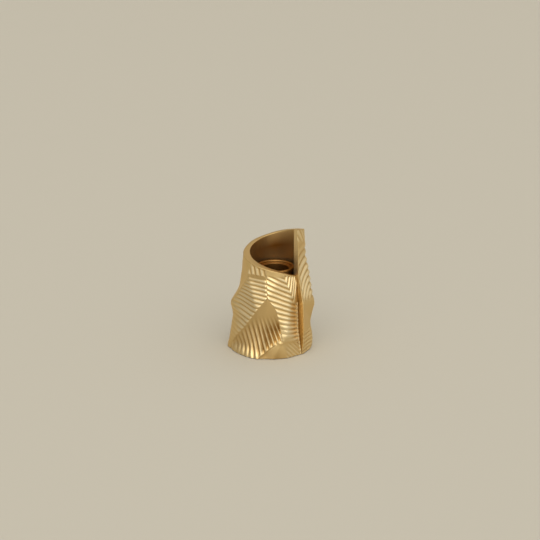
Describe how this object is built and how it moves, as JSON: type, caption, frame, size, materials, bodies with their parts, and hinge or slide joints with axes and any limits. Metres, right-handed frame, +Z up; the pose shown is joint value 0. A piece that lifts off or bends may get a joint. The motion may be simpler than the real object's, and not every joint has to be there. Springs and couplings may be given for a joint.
{
  "type": "candlestick",
  "caption": "Brass taper candlestick: a faceted, reeded wall rolled into a climbing wrap round a lift-out candle cup, on a padded foot.",
  "frame": {"origin": "on the candle's axis, on the underside of the felt pad, which is the table's surface", "axes": "+Z up along the candle's axis; the wrap's open side, where the wall's end stands proud of its start, faces -Y and +X"},
  "size_m": [0.0724, 0.0693, 0.1065],
  "materials": {
    "satin_brass": "satin, cast and hand-finished",
    "turned_brass": "satin, turned",
    "plain_steel": "plain",
    "dark_felt": "felt"
  },
  "bodies": {
    "stand": {"outer_shell": "satin_brass", "base_plate": "plain_steel", "felt_pad": "dark_felt", "cup_pillar": "turned_brass", "pillar_screw": "plain_steel", "plate_screw_1": "plain_steel", "plate_screw_2": "plain_steel", "plate_screw_3": "plain_steel"},
    "cup": {"candle_cup": "turned_brass"}
  },
  "joints": [
    {"name": "cup_lift", "type": "slide", "parent": "stand", "child": "cup", "axis": [0, 0, 1], "range_m": [0, 0.075]}
  ]
}
